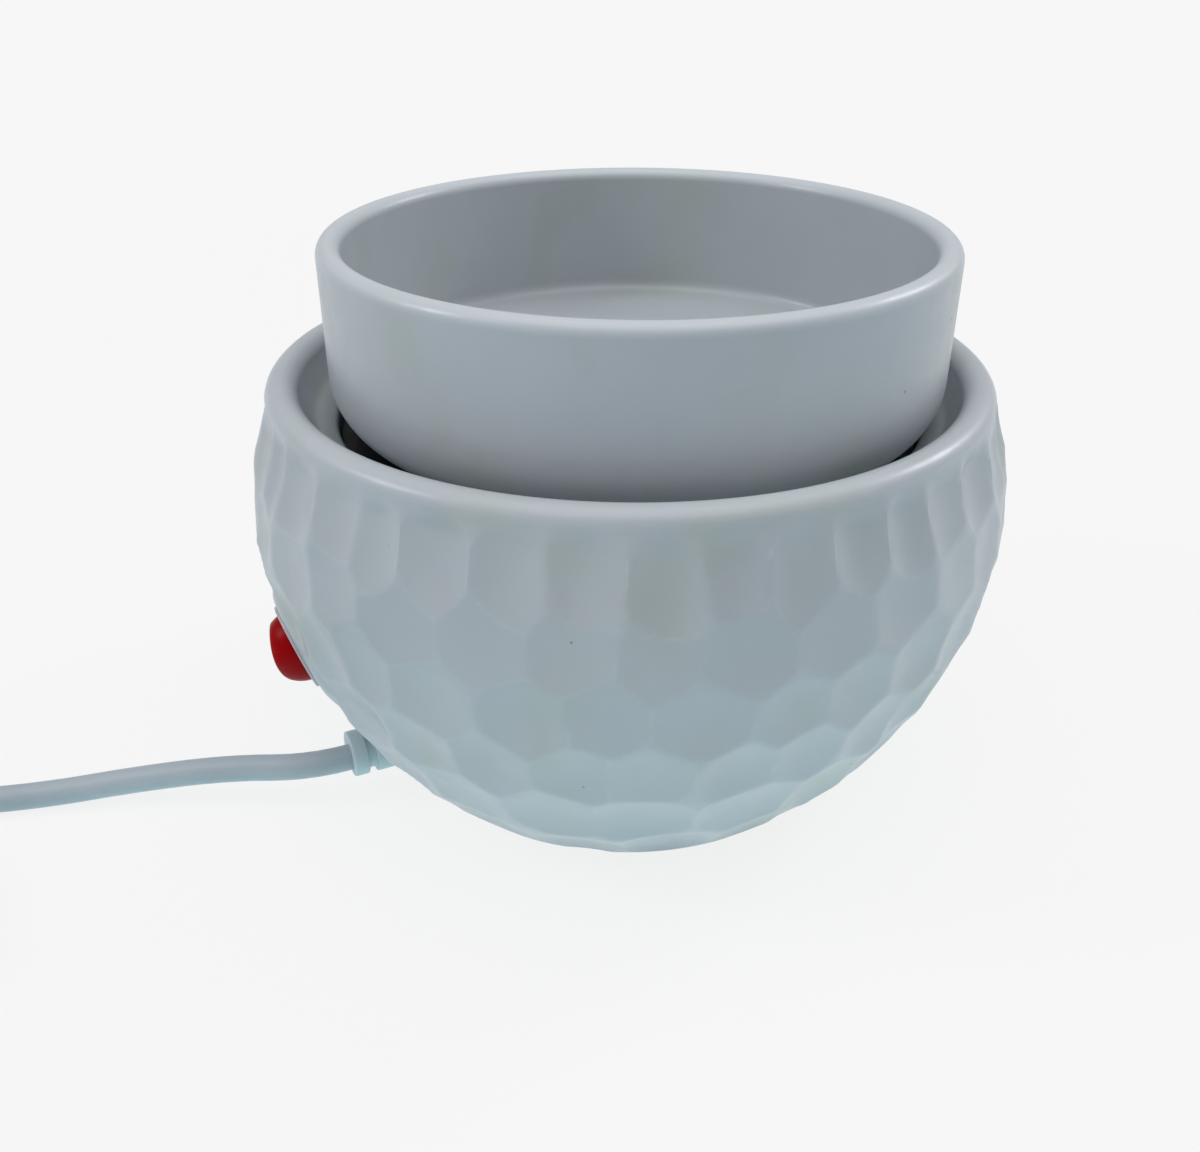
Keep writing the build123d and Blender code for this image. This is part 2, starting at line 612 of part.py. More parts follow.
def mains_lead():
    """Lead from the strain relief to a wound coil, its tie, the tail and the plug."""
    route = [(-gland_end_x, 0, gland_z), (-71.5, 0, gland_z), (-86.0, 8.2, 8.0), (-104.0, 16.6, 5.0),
             (-122.5, 22.3, 2.8), (-143.0, 27.8, coil_z), (-166.0, 33.2, coil_z)]
    free_run = tube("power_cord", route, cord_radius)
    place = coil_place(route)
    edges = coil_arcs()
    path = Wire(edges)
    section = Plane(origin=path @ 0, z_dir=path % 0) * Circle(cord_radius)
    coil = sweep(section, path=path)
    expected = math.pi * cord_radius ** 2 * path.length
    print("cord_coil length %.1f" % path.length, "volume ratio %.4f" % (coil.volume / expected),
          "least gap %.2f" % least_gap(edges))
    top_z = coil_z + coil_layer
    tail_local = [(-2 * cord_radius, coil_outer_radius, top_z), (-18.0, coil_outer_radius, top_z),
                  (-32.0, 36.5, 8.6), (-44.5, 29.0, 7.5), (-52.5, 17.0, plug_height / 2),
                  (-55.0, 3.5, plug_height / 2)]
    tail = [tuple(place.from_local_coords(Vector(*point))) for point in tail_local]
    write("power_cord", free_run)
    write("cord_coil", place * coil)
    write("cord_tail", tube("cord_tail", tail, cord_radius))
    write("cord_tie", cord_tie(place))
    plug(tail)


def thermal_fuse():
    """Axial fuse in a glass sleeve, held under the clamp plate by a saddle."""
    place = Pos(0, fuse_y, fuse_z)
    sleeve_bore = fuse_radius + sleeve_gap
    sleeve_radius = sleeve_bore + sleeve_wall
    fuse = rod_x(fuse_radius, -fuse_length / 2, fuse_length)
    fuse += rod_x(fuse_wire_radius, -fuse_wire_reach, 2 * fuse_wire_reach)
    write("thermal_fuse", place * fuse)
    sleeve = rod_x(sleeve_radius, -sleeve_reach, 2 * sleeve_reach)
    write("fuse_sleeve", place * (sleeve - rod_x(sleeve_bore, -fuse_wire_reach, 2 * fuse_wire_reach)))
    inside = sleeve_radius + clip_gap
    outside = inside + clip_thickness
    lift = clamp_z - fuse_z
    clip = rod_x(outside, -clip_width / 2, clip_width)
    clip += Box(clip_width, 2 * outside, lift, align=(Align.CENTER, Align.CENTER, Align.MIN))
    clip += Pos(0, 0, lift) * Box(clip_width, 2 * (outside + clip_foot), clip_thickness,
                                  align=(Align.CENTER, Align.CENTER, Align.MAX))
    clip -= Box(2 * clip_width, 4 * (outside + clip_foot), 2 * outside,
                align=(Align.CENTER, Align.CENTER, Align.MIN)) - Box(
                    2 * clip_width, 4 * (outside + clip_foot), lift,
                    align=(Align.CENTER, Align.CENTER, Align.MIN))
    clip -= rod_x(inside, -clip_width, 2 * clip_width)
    clip -= Box(2 * clip_width, 2 * inside, 2 * lift, align=(Align.CENTER, Align.CENTER, Align.MIN))
    write("fuse_clip", place * clip)
    crimp = rod_x(crimp_radius, -crimp_length / 2, crimp_length)
    crimp -= rod_x(lead_radius + crimp_gap, -crimp_length, 2 * crimp_length)
    write("lead_crimps", *[place * Pos(side * crimp_place, 0, 0) * crimp for side in (-1, 1)])


def hollow_places(shares):
    """Points in the bowl's hollow from their shares of its radius and of its height."""
    return [(x * widest_radius, y * widest_radius, z * lip_z) for x, y, z in shares]


def leads():
    """Insulated leads: lead to switch, switch to fuse, fuse to heater and heater to lead."""
    core_x, core_y = cord_inner_length - gland_end_x, core_spacing / 2
    switch_end = switch_plane(blade_reach)
    behind = switch_plane(blade_reach + switch_lead_straight)
    contact = Vector(0, contact_offset, 0)
    tab_points = []
    for turn in tab_turns:
        reach = element_radius + tab_lead_place
        angle = math.radians(turn)
        tab_points.append((reach * math.cos(angle), reach * math.sin(angle)))
    fuse_tab, neutral_tab = tab_points
    turn_x = core_x + core_straight
    fuse_lead_x = fuse_lead_share * widest_radius
    routes = {
        "live_lead": [(core_x, core_y, gland_z), (turn_x, core_y, gland_z), *hollow_places(live_shares),
                      tuple(behind.origin + contact), tuple(switch_end.origin + contact)],
        "switched_lead": [tuple(switch_end.origin), tuple(behind.origin), *hollow_places(switched_shares),
                          (-fuse_lead_x, fuse_y, fuse_z), (-fuse_wire_reach, fuse_y, fuse_z)],
        "fuse_lead": [(fuse_wire_reach, fuse_y, fuse_z), (fuse_lead_x, fuse_y, fuse_z),
                      *hollow_places(fuse_shares), (*fuse_tab, element_z - tab_drop), (*fuse_tab, element_z)],
        "neutral_lead": [(core_x, -core_y, gland_z), (turn_x, -core_y, gland_z),
                         *hollow_places(neutral_shares), (*neutral_tab, element_z - tab_drop),
                         (*neutral_tab, element_z)]}
    for name, points in routes.items():
        write(name, tube(name, points, lead_radius))


def main():
    """Write every node."""
    os.makedirs("parts", exist_ok=True)
    write("ceramic_body", ceramic_body())
    write("melt_dish", melt_dish())
    write("warming_plate", warming_plate())
    seal_bore = shelf_bore_radius + seal_overhang
    write("plate_seal", ring(well_radius - plate_gap, seal_bore, seat_z, seal_thickness))
    heating_pack()
    tie_rod()
    write("base_cover", base_cover())
    write("rubber_feet", *rubber_feet())
    switch()
    strain_relief()
    mains_lead()
    thermal_fuse()
    leads()


main()
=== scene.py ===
"""Wax melt warmer: the finish of every piece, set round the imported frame.

Metres, +Z up, origin on the floor under the bowl's axis. The switch and the mains lead are at -X.
"""
import json
import math

import bmesh
import bpy
import numpy as np
from mathutils import Matrix, Vector

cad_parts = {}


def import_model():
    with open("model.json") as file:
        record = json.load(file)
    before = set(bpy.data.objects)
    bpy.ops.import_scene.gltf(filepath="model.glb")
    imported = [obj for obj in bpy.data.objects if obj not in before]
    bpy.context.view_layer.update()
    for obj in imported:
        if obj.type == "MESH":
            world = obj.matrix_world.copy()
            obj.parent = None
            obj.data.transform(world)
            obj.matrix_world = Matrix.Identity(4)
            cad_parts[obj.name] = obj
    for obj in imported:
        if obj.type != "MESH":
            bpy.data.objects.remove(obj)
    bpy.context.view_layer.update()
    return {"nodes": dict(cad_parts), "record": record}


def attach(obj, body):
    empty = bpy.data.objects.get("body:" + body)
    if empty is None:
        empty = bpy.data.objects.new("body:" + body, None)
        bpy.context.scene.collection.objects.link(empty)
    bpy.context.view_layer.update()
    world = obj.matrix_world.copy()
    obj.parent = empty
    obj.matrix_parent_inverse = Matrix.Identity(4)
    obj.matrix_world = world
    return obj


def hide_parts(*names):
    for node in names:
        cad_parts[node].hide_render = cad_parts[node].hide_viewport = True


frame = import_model()

# Camera
camera_place = (-0.0999, -0.2010, 0.1633)
camera_pitch, camera_heading = 29.4, -25.0
camera_lens = camera_sensor = 36.0

# Bowl: outer form, as (radius, height) points of two circles, its lip, and the radius that the wall
# never passes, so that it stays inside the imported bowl's box
foot_z = 0.0016
foot_point, belly_point = (0.0485, 0.003), (0.0689, 0.033)
widest_point, shoulder_point = (0.0746, 0.057), (0.0731, 0.071)
lip_radius, lip_z, lip_tube = 0.06615, 0.083, 0.00315
widest_allowed = 0.07445
bowl_corner_reach = 0.0009

# Bowl: well, shelf, hollow and foot
ledge_outer, ledge_inner = (0.0606, 0.079), (0.0564, 0.077)
seat_z, shelf_bore, shelf_under_z = 0.0706, 0.048, 0.0654
shelf_root = (0.064, 0.0625)
wall = 0.0046
recess_radius, recess_z = 0.042, 0.0046
flange_bore, flange_top_z = 0.0375, 0.0086

# Switch: its axis meets the bowl's surface at switch_z; depths are measured inwards from there
switch_z = 0.038
bezel_seat_radius, bezel_seat_depth, bezel_seat_length = 0.0088, 0.0007, 0.006
barrel_hole_radius, barrel_hole_depth, barrel_hole_length = 0.0084, 0.013, 0.02
ring_nut_hole_radius, ring_nut_hole_length = 0.0116, 0.014
bezel_radius, bezel_thickness, bezel_edge, rocker_bore = 0.0087, 0.0008, 0.0004, 0.00725
barrel_radius, barrel_length, barrel_floor = 0.0082, 0.0118, 0.0012

# Strain relief, on an axis along X; its head, neck and collar are oval and raised a little
gland_z, gland_end_x = 0.009, -0.0631
gland_head_radius, gland_head_length = 0.00625, 0.003
gland_neck_radius, gland_neck_length = 0.0049, 0.0017
gland_collar_length = 0.0038
gland_shank_radius, gland_shank_length = 0.0044, 0.0106
gland_edge, gland_columns = 0.0004, 72
gland_hole_gap, gland_hole_overrun = 0.0002, 0.003
gland_spot_radius, gland_spot_length, gland_wall = 0.007, 0.05 / 3, 0.0066
gland_rise, gland_width_share, gland_height_share = 0.0007, 0.80, 0.736

# Mains lead: its free run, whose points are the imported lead's, the coil and the tail to the plug
cord_radius = 0.0027
coil_outer_radius, coil_pitch, coil_layer, coil_z = 0.040, 0.006, 0.006, 0.00335
coil_half_turns_in = 6
coil_points_per_half_turn = 12
cord_route = [(gland_end_x, 0.0, gland_z), (-0.0715, 0.0, gland_z), (-0.0860, 0.0082, 0.0080),
              (-0.1040, 0.0166, 0.0050), (-0.1225, 0.0223, 0.0028), (-0.1430, 0.0278, coil_z),
              (-0.1660, 0.0332, coil_z)]
tail_route = [(-0.018, 0.040, 0.00935), (-0.032, 0.0365, 0.0086), (-0.0445, 0.029, 0.0075),
              (-0.0525, 0.017, 0.0065), (-0.055, 0.0035, 0.0065)]


def camera():
    """Camera at the photograph's place: it looks down at the object and a little to the right."""
    data = bpy.data.cameras.new("camera")
    data.lens, data.sensor_width = camera_lens, camera_sensor
    data.clip_start, data.clip_end = 0.01, 100
    seen_from = bpy.data.objects.new("camera", data)
    bpy.context.scene.collection.objects.link(seen_from)
    seen_from.location = camera_place
    seen_from.rotation_euler = (math.radians(90 - camera_pitch), 0, math.radians(camera_heading))
    bpy.context.scene.camera = seen_from


def coil_frame():
    """Middle of the coil, the way towards its start and the way that the lead arrives."""
    before, start = np.array(cord_route[-2]), np.array(cord_route[-1])
    heading = np.array([start[0] - before[0], start[1] - before[1], 0.0])
    heading /= np.linalg.norm(heading)
    side = np.array([heading[1], -heading[0], 0.0])
    middle = np.array([start[0], start[1], 0.0]) + heading * 2 * cord_radius - side * coil_outer_radius
    return middle, side, heading


def coil_to_world(points):
    """Points given along the coil's own x, y and z, moved to their place."""
    middle, side, heading = coil_frame()
    points = np.asarray(points, dtype=float)
    return middle + points[:, :1] * side + points[:, 1:2] * heading + points[:, 2:] * np.array([0, 0, 1.0])


def coil_turns():
    """Control points of the turns: half circles that spiral in, climb a layer and spiral out again.

    A quadratic spline runs inside its control points, so they stand out by the cosine of half a step."""
    step = math.pi / coil_points_per_half_turn
    radius = x = coil_outer_radius
    z, side = coil_z, 1
    turns = []
    for i in range(2 * coil_half_turns_in):
        climb = coil_layer if i == coil_half_turns_in else 0
        angles = step * (np.arange(coil_points_per_half_turn) + 0.5)
        out = radius / math.cos(step / 2)
        centre = x - side * radius
        turns.append(np.stack([centre + side * out * np.cos(angles), side * out * np.sin(angles),
                               z + climb * (0.5 - 0.5 * np.cos(angles))], axis=1))
        x, z, side = x - side * 2 * radius, z + climb, -side
        radius += (1 if i >= coil_half_turns_in else -1) * coil_pitch / 2
    angles = step * (np.arange(coil_points_per_half_turn // 2) + 0.5)
    out = radius / math.cos(step / 2)
    turns.append(np.stack([x - radius + out * np.cos(angles), out * np.sin(angles), z + 0 * angles], axis=1))
    return np.concatenate(turns)


def mains_lead():
    """The lead as one smooth line: the free run, the coil that is put away and the tail to the plug."""
    local = np.concatenate([coil_turns(), np.array(tail_route)])
    points = np.concatenate([np.array(cord_route), coil_to_world(local)])
    curve = bpy.data.curves.new("mains_lead", "CURVE")
    curve.dimensions = "3D"
    curve.bevel_depth, curve.bevel_resolution = cord_radius, 6
    curve.use_fill_caps = True
    spline = curve.splines.new("NURBS")
    spline.points.add(len(points) - 1)
    spline.points.foreach_set("co", np.c_[points, np.ones(len(points))].ravel())
    spline.order_u = 3
    spline.use_endpoint_u = True
    spline.resolution_u = 5
    lead = bpy.data.objects.new("mains_lead", curve)
    bpy.context.scene.collection.objects.link(lead)
    return lead


def moved(points, place):
    """Points carried to where a matrix puts them."""
    place = np.array(place)
    return points @ place[:3, :3].T + place[:3, 3]


def srgb(red, green, blue):
    """Linear colour of a screen colour given from 0 to 255."""
    def linear(value):
        share = value / 255
        return share / 12.92 if share <= 0.04045 else ((share + 0.055) / 1.055) ** 2.4
    return (linear(red), linear(green), linear(blue), 1.0)


class Finish:
    """Node tree of one finish, written as short calls."""

    def __init__(self, name):
        self.material = bpy.data.materials.new(name)
        self.material.use_nodes = True
        self.nodes, self.links = self.material.node_tree.nodes, self.material.node_tree.links
        self.shader = self.nodes["Principled BSDF"]
        self.place = self.nodes.new("ShaderNodeTexCoord").outputs["Object"]

    def set(self, **values):
        """Plain values on the shader's own sockets; an underscore stands for a space."""
        for name, value in values.items():
            self.shader.inputs[name.replace("_", " ")].default_value = value
        return self

    def node(self, kind, inputs=None, **options):
        """New node of a kind, with its options and its inputs, each a value or another node's output."""
        made = self.nodes.new("ShaderNode" + kind)
        for name, value in options.items():
            setattr(made, name, value)
        for name, value in (inputs or {}).items():
            socket = made.inputs[name]
            if isinstance(value, bpy.types.NodeSocket):
                self.links.new(value, socket)
            else:
                socket.default_value = value
        return made

    def noise(self, size, detail=2.0, stretch=None):
        """Soft noise whose blotches are about this many metres across; stretch squeezes an axis."""
        place = self.place
        if stretch:
            place = self.node("Mapping", {"Vector": place, "Scale": stretch}).outputs["Vector"]
        made = self.node("TexNoise", {"Vector": place, "Scale": 1 / size, "Detail": detail})
        return made.outputs["Fac"]

    def ramp(self, value, low, high, first=0.0, last=1.0):
        """Value moved from the range low to high onto first to last, and kept inside it."""
        return self.node("MapRange", {"Value": value, "From Min": low, "From Max": high,
                                      "To Min": first, "To Max": last}).outputs["Result"]

    def mix(self, share, first, second):
        """Colour between two, by a share from 0 to 1."""
        made = self.node("Mix", data_type="RGBA")
        factor, colour_a, colour_b = (made.inputs[i] for i in (0, 6, 7))
        for socket, value in ((factor, share), (colour_a, first), (colour_b, second)):
            if isinstance(value, bpy.types.NodeSocket):
                self.links.new(value, socket)
            else:
                socket.default_value = value
        return made.outputs[2]

    def colour(self, value):
        """Base colour from a node."""
        self.links.new(value, self.shader.inputs["Base Color"])
        return self

    def roughness(self, value):
        """Roughness from a node."""
        self.links.new(value, self.shader.inputs["Roughness"])
        return self

    def bump(self, height, distance, strength=1.0):
        """Small relief of this depth in metres, added to what is there already."""
        made = self.node("Bump", {"Height": height, "Distance": distance, "Strength": strength})
        before = self.shader.inputs["Normal"]
        if before.is_linked:
            self.links.new(before.links[0].from_socket, made.inputs["Normal"])
        self.links.new(made.outputs["Normal"], before)
        return self


def glaze(name, light, shade, warm, speck, painted_highlight, rim_highlight_heights, rim_highlight_share, crests=False):
    """Satin ceramic glaze: pale clouding, faint greenish and warm patches, pinholes and tiny specks, and a
    painted highlight: a lighter colour painted over the top of the rim and, if asked, along the facets'
    crests."""
    finish = Finish(name).set(Specular_IOR_Level=0.4, Coat_Weight=0.18, Coat_Roughness=0.22)
    cloud = finish.ramp(finish.noise(0.03, 3.0), 0.3, 0.7)
    patch = finish.ramp(finish.noise(0.017, 2.0, (1.0, 1.0, 0.7)), 0.52, 0.72, 0.0, 0.6)
    colour = finish.mix(cloud, shade, light)
    colour = finish.mix(patch, colour, warm)
    height = finish.node("SeparateXYZ", {0: finish.place}).outputs["Z"]
    # Painted highlight: the top of the rim is painted towards the highlight colour, up to the given share.
    colour = finish.mix(finish.ramp(height, *rim_highlight_heights, 0.0, rim_highlight_share), colour, painted_highlight)
    # Painted highlight along the crests of the facets, read from the crest attribute.
    if crests:
        crest = finish.node("Attribute", attribute_name="crest").outputs["Fac"]
        colour = finish.mix(finish.ramp(crest, 0.2, 1.0, 0.0, 0.13), colour, painted_highlight)
    grains = finish.node("TexVoronoi", {"Vector": finish.place, "Scale": 92.0, "Randomness": 1.0})
    dot = finish.ramp(grains.outputs["Distance"], 0.018, 0.034, 1.0, 0.0)
    colour = finish.mix(finish.ramp(dot, 0.0, 1.0, 0.0, 0.7), colour, speck)
    finish.colour(colour)
    finish.roughness(finish.ramp(finish.noise(0.004, 3.0), 0.3, 0.7, 0.34, 0.46))
    finish.bump(finish.noise(0.0032, 2.0), 0.00006, 0.6)
    finish.bump(dot, 0.00008, 0.5)
    return finish.material


def plastic(name, tone, second, rough=(0.35, 0.5), grain=0.0007, depth=0.00002, **values):
    """Moulded plastic: a faint change of tone and a fine spark-eroded grain."""
    finish = Finish(name).set(**values)
    finish.colour(finish.mix(finish.ramp(finish.noise(0.012), 0.35, 0.65), tone, second))
    finish.roughness(finish.ramp(finish.noise(0.003, 3.0), 0.3, 0.7, *rough))
    return finish.bump(finish.noise(grain, 2.0), depth).material


def rubber(name, tone, second, rough=(0.62, 0.78)):
    """Moulded rubber or silicone: matt, with a soft skin and a little dust."""
    finish = Finish(name).set(Specular_IOR_Level=0.35)
    finish.colour(finish.mix(finish.ramp(finish.noise(0.006, 3.0), 0.45, 0.7), tone, second))
    finish.roughness(finish.ramp(finish.noise(0.0016, 2.0), 0.3, 0.7, *rough))
    return finish.bump(finish.noise(0.0005, 2.0), 0.00003).material


def metal(name, tone, second, rough, stretch):
    """Bare or plated metal with drawing lines along the axis that stretch leaves long."""
    finish = Finish(name).set(Metallic=1.0)
    lines = finish.noise(0.0009, 3.0, stretch)
    finish.colour(finish.mix(finish.ramp(finish.noise(0.005, 2.0), 0.35, 0.7), tone, second))
    finish.roughness(finish.ramp(lines, 0.3, 0.7, *rough))
    return finish.bump(lines, 0.00001).material


def fibre(name, tone, second, size, depth):
    """Felted or pressed fibre: long grains that cross in two directions."""
    finish = Finish(name).set(Specular_IOR_Level=0.2)
    along, across = finish.noise(size, 3.0, (0.25, 1.0, 1.0)), finish.noise(size, 3.0, (1.0, 0.25, 1.0))
    both = finish.node("Math", {0: along, 1: across}, operation="MAXIMUM").outputs[0]
    finish.colour(finish.mix(finish.ramp(both, 0.45, 0.75), tone, second))
    finish.roughness(finish.ramp(both, 0.4, 0.7, 0.95, 0.8))
    return finish.bump(both, depth).material


# Facets of the bowl, one row a line: height of their middles, half of their length along the wall,
# share of the full depth, and how many go round. A deeper row is also rounder, so its facets bite
# arcs out of a flatter one
facet_rows = [
    (0.0765, 0.0086, 1.30, 40),
    (0.0640, 0.0076, 0.80, 32),
    (0.0512, 0.0078, 0.95, 32),
    (0.0372, 0.0080, 1.10, 32),
    (0.0235, 0.0090, 1.25, 24),
    (0.0095, 0.0090, 1.40, 20)]
# Strays by chance: of the depth as a share, of the height in metres and of the turn in degrees
facet_depth, facet_depth_stray, facet_height_stray, facet_turn_stray = 0.0014, 0.20, 0.0018, 1.6
facet_reach_share, ridge_softness, crest_softness = 0.74, 0.00006, 0.00011
facet_fade_z = (0.0845, 0.0795)
switch_pad_radii = (0.0100, 0.0150)
bowl_columns, bowl_rows = 496, 126
# Waver of the hand: how many waves go round, how high each is and where it starts, in radians
bowl_waves = ((2, 0.00012, 0.4), (3, 0.00009, 1.9), (5, 0.00005, 4.0))
# Points nearer than this are merged, and edges that turn by more degrees than this stay hard
merge_distance, hard_edge = 1e-7, 38.0


def circle_through(first, second, third):
    """Centre and radius of the circle through three (radius, height) points."""
    (ax, ay), (bx, by), (cx, cy) = first, second, third
    turn = 2 * (ax * (by - cy) + bx * (cy - ay) + cx * (ay - by))
    a, b, c = ax * ax + ay * ay, bx * bx + by * by, cx * cx + cy * cy
    centre_x = (a * (by - cy) + b * (cy - ay) + c * (ay - by)) / turn
    centre_y = (a * (cx - bx) + b * (ax - cx) + c * (bx - ax)) / turn
    return centre_x, centre_y, math.hypot(ax - centre_x, ay - centre_y)


lower_circle = circle_through(foot_point, belly_point, widest_point)
upper_circle = circle_through(widest_point, shoulder_point, (lip_radius + lip_tube, lip_z))


def bowl_radius(z):
    """Outer radius at each height: one circle below the widest place and another above it."""
    z = np.asarray(z, dtype=float)
    below, above = [c[0] + np.sqrt(c[2] ** 2 - (z - c[1]) ** 2) for c in (lower_circle, upper_circle)]
    return np.where(z < widest_point[1], below, above)


def smooth_step(value, start, end):
    """0 at start and beyond it, 1 at end and beyond it, and a soft S between them."""
    share = np.clip((value - start) / (end - start), 0, 1)
    return share * share * (3 - 2 * share)


def arc(centre, radius, start, end, count):
    """Points of an arc in the (radius, height) plane, between two angles in degrees."""
    angles = np.radians(np.linspace(start, end, count))
    return np.stack([centre[0] + radius * np.cos(angles), centre[1] + radius * np.sin(angles)], axis=1)


def softened(points, reach, steps=4):
    """Open outline with each inner corner rounded: a parabola from reach before it to reach after it."""
    points = np.asarray(points, dtype=float)
    before, corner, after = points[:-2], points[1:-1], points[2:]
    runs = [np.linalg.norm(end - corner, axis=1, keepdims=True) for end in (before, after)]
    start = corner + (before - corner) * np.minimum(0.45, reach / runs[0])
    end = corner + (after - corner) * np.minimum(0.45, reach / runs[1])
    t = np.linspace(0, 1, steps)[:, None, None]
    bent = (1 - t) ** 2 * start + 2 * t * (1 - t) * corner + t ** 2 * end
    return np.concatenate([points[:1], bent.transpose(1, 0, 2).reshape(-1, points.shape[1]), points[-1:]])


def evenly(points, count):
    """Open outline read again at evenly spaced places along its length."""
    far = np.r_[0, np.cumsum(np.linalg.norm(np.diff(points, axis=0), axis=1))]
    at = np.linspace(0, far[-1], count)
    return np.stack([np.interp(at, far, points[:, i]) for i in range(points.shape[1])], axis=1)


def grid_faces(rows, columns, rows_closed):
    """Four-sided faces of a grid of points, closed round its columns and, if asked, over its rows."""
    row = np.arange(rows if rows_closed else rows - 1)[:, None] * columns
    over = (row + columns) % (rows * columns)
    column = np.arange(columns)[None, :]
    beside = (column + 1) % columns
    return np.stack([row + column, row + beside, over + beside, over + column], axis=-1).reshape(-1, 4)


def smooth_faces(mesh, sharp):
    """Smooth shading, apart from edges that turn by more than this many degrees."""
    mesh.polygons.foreach_set("use_smooth", np.ones(len(mesh.polygons), dtype=bool))
    mesh.set_sharp_from_angle(angle=math.radians(sharp))


def add_piece(name, points, faces, finish, body, nodes, sharp=hard_edge, **attributes):
    """New piece from points and faces: poles merged, faces turned outwards, hard edges kept.

    Attributes are numbers, one a point, that the finish reads."""
    mesh = bpy.data.meshes.new(name)
    mesh.from_pydata(np.asarray(points).reshape(-1, 3).tolist(), [], np.asarray(faces).tolist())
    for kind, values in attributes.items():
        mesh.attributes.new(kind, "FLOAT", "POINT").data.foreach_set("value", values.ravel())
    shape = bmesh.new()
    shape.from_mesh(mesh)
    bmesh.ops.remove_doubles(shape, verts=shape.verts, dist=merge_distance)
    bmesh.ops.dissolve_degenerate(shape, edges=shape.edges, dist=merge_distance)
    bmesh.ops.recalc_face_normals(shape, faces=shape.faces)
    shape.to_mesh(mesh)
    shape.free()
    return finish_piece(name, mesh, finish, body, nodes, sharp)


def finish_piece(name, mesh, finish, body, nodes, sharp):
    """Object for a mesh: smooth faces, its finish, the body that it rides on and what it replaces."""
    smooth_faces(mesh, sharp)
    mesh.materials.clear()
    mesh.materials.append(finishes[finish])
    made = bpy.data.objects.new(name, mesh)
    bpy.context.scene.collection.objects.link(made)
    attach(made, body)
    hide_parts(*nodes)
    return made


def turned_points(outline, columns, place=None):
    """Outline of (radius, height) points turned about the Z axis, or about the axis of a matrix."""
    angles = np.arange(columns) * 2 * math.pi / columns
    radius, height = outline[:, :1], outline[:, 1:2]
    points = np.stack([radius * np.cos(angles), radius * np.sin(angles),
                       np.broadcast_to(height, (len(outline), columns))], axis=-1)
    return points if place is None else moved(points, place)


def turned_piece(name, outline, finish, body, nodes, columns, place):
    """Piece turned from an outline that starts and ends on the axis."""
    outline = np.asarray(outline, dtype=float)
    faces = grid_faces(len(outline), columns, False)
    return add_piece(name, turned_points(outline, columns, place), faces, finish, body, nodes)


def facet_cut(turns, up_wall, heights_up):
    """How far the facets cut into the bowl, for turns in radians and lengths up the wall.

    The facets of a row stand evenly round the bowl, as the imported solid's do, and every other row is
    half a step on. Each then strays a little by seeded chance.

    Each facet is a shallow bowl: its depth less the squares of the ways aside and along from its
    middle, each over its half size. The cut is a soft maximum of all of them and of no cut at all, so
    the ridges between them come out rounded. The second result is how near a crest each point is: a
    softer maximum less the plain one, 0 inside a facet and 1 where two of them meet."""
    chance = np.random.default_rng(7)
    total, wide_total = np.ones((2, len(up_wall), len(turns)))
    largest = np.zeros((len(up_wall), len(turns)))
    for row, (height, half_length, depth_share, count) in enumerate(facet_rows):
        even = (np.arange(count) + 0.5 + row % 2 / 2) * 360 / count
        middles = np.sort(even + chance.uniform(-1, 1, count) * facet_turn_stray)
        gaps = np.diff(np.r_[middles[-1] - 360, middles, middles[0] + 360])
        half_turns = np.radians((gaps[1:] + gaps[:-1]) / 4)
        strays = chance.uniform(-1, 1, count) * facet_height_stray
        depths = facet_depth * depth_share * (1 + chance.uniform(-1, 1, count) * facet_depth_stray)
        for middle, half_turn, stray, depth in zip(middles, half_turns, strays, depths):
            aside = (turns - math.radians(middle) + math.pi) % (2 * math.pi) - math.pi
            place = np.interp(height + stray, *heights_up)
            across = (aside / half_turn) ** 2
            along = ((up_wall - place) / half_length) ** 2
            cut = depth * (1 - facet_reach_share * (across[None, :] + along[:, None]))
            total += np.exp(np.maximum(cut / ridge_softness, -30))
            wide_total += np.exp(np.maximum(cut / crest_softness, -30))
            largest = np.maximum(largest, cut)
    crest = (np.log(wide_total) - largest / crest_softness) / math.log(2)
    return ridge_softness * np.log(total), np.clip(crest, 0, 1)


def switch_place(depth):
    """Matrix at a depth below the bowl's surface on the switch's axis: z outwards, y up the bowl."""
    radius = float(bowl_radius(switch_z))
    slope = -(switch_z - lower_circle[1]) / (radius - lower_circle[0])
    lean = math.atan(slope)
    out = Vector((-math.cos(lean), 0, -math.sin(lean)))
    side = Vector((0, -1, 0))
    place = Vector((-radius, 0, switch_z)) - out * depth
    columns = (side, out.cross(side), out, place)
    return Matrix([[column[i] for column in columns] for i in range(3)] + [[0, 0, 0, 1]])


def along_x(x, z=0.0):
    """Matrix of an axis along +X that starts at x, at a height z."""
    return Matrix.Translation((x, 0, z)) @ Matrix.Rotation(math.radians(90), 4, "Y")


gland_oval = (Matrix.Translation((-gland_rise, 0, 0))
              @ Matrix.Diagonal((gland_height_share, gland_width_share, 1, 1)))


def drill(piece, holes):
    """Round holes cut through a piece: each is a matrix at its start, its radius and its length."""
    for place, radius, length in holes:
        cutter = bpy.data.meshes.new("drill")
        shape = bmesh.new()
        middle = place @ Matrix.Translation((0, 0, length / 2))
        bmesh.ops.create_cone(shape, cap_ends=True, segments=96, radius1=radius, radius2=radius,
                              depth=length, matrix=middle)
        shape.to_mesh(cutter)
        shape.free()
        tool = bpy.data.objects.new("drill", cutter)
        bpy.context.scene.collection.objects.link(tool)
        cut = piece.modifiers.new("hole", "BOOLEAN")
        cut.operation, cut.solver, cut.object = "DIFFERENCE", "EXACT", tool
        cut_mesh = bpy.data.meshes.new_from_object(
            piece.evaluated_get(bpy.context.evaluated_depsgraph_get()))
        piece.modifiers.remove(cut)
        piece.data = cut_mesh
        bpy.data.objects.remove(tool)


